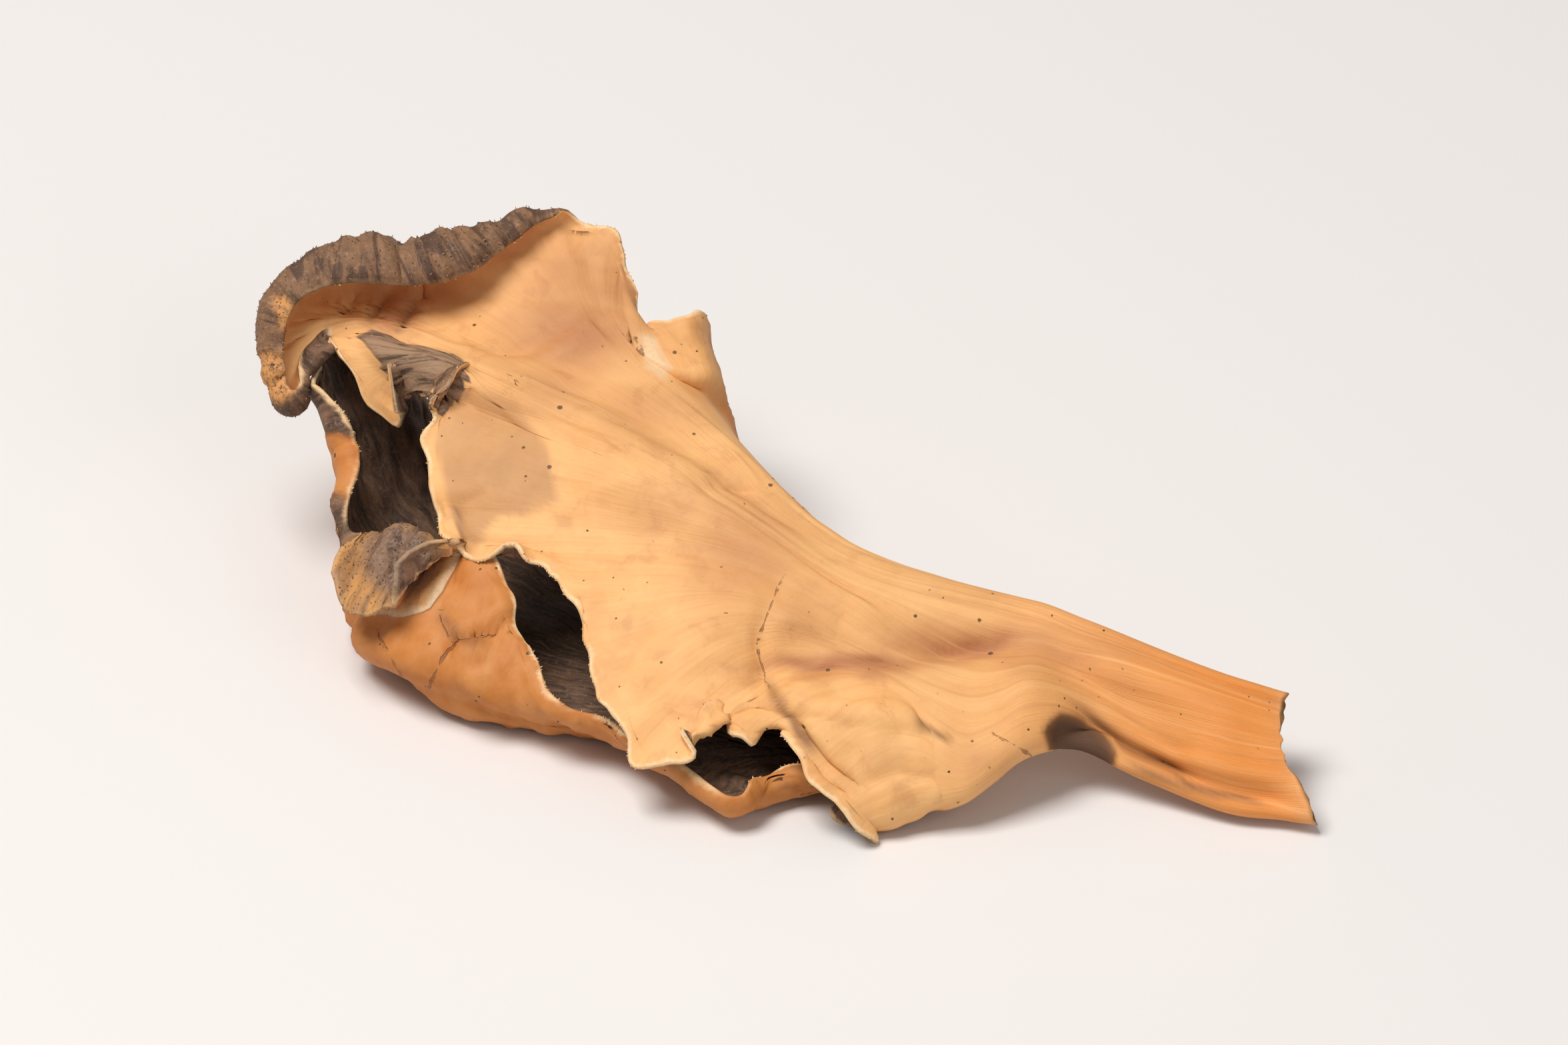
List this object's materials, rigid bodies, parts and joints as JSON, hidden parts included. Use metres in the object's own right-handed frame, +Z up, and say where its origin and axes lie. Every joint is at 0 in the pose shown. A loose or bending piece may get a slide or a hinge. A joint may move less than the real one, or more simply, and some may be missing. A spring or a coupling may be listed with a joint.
{
  "type": "dried chanterelle mushroom",
  "caption": "Dried yellowfoot chanterelle lying down: a collapsed hollow trumpet of thin flesh with a torn, rolled cap edge and a flattened, furrowed stem.",
  "frame": {"origin": "on the surface the mushroom lies on, under the middle of its bounding box", "axes": "+X towards the cut foot of the stem, +Y towards the back where the hollow opens, +Z up"},
  "size_m": [0.0488, 0.0322, 0.0155],
  "materials": {
    "flesh": "matte, dry and leathery"
  },
  "bodies": {
    "root": {"dried_chanterelle": "flesh"}
  },
  "joints": []
}
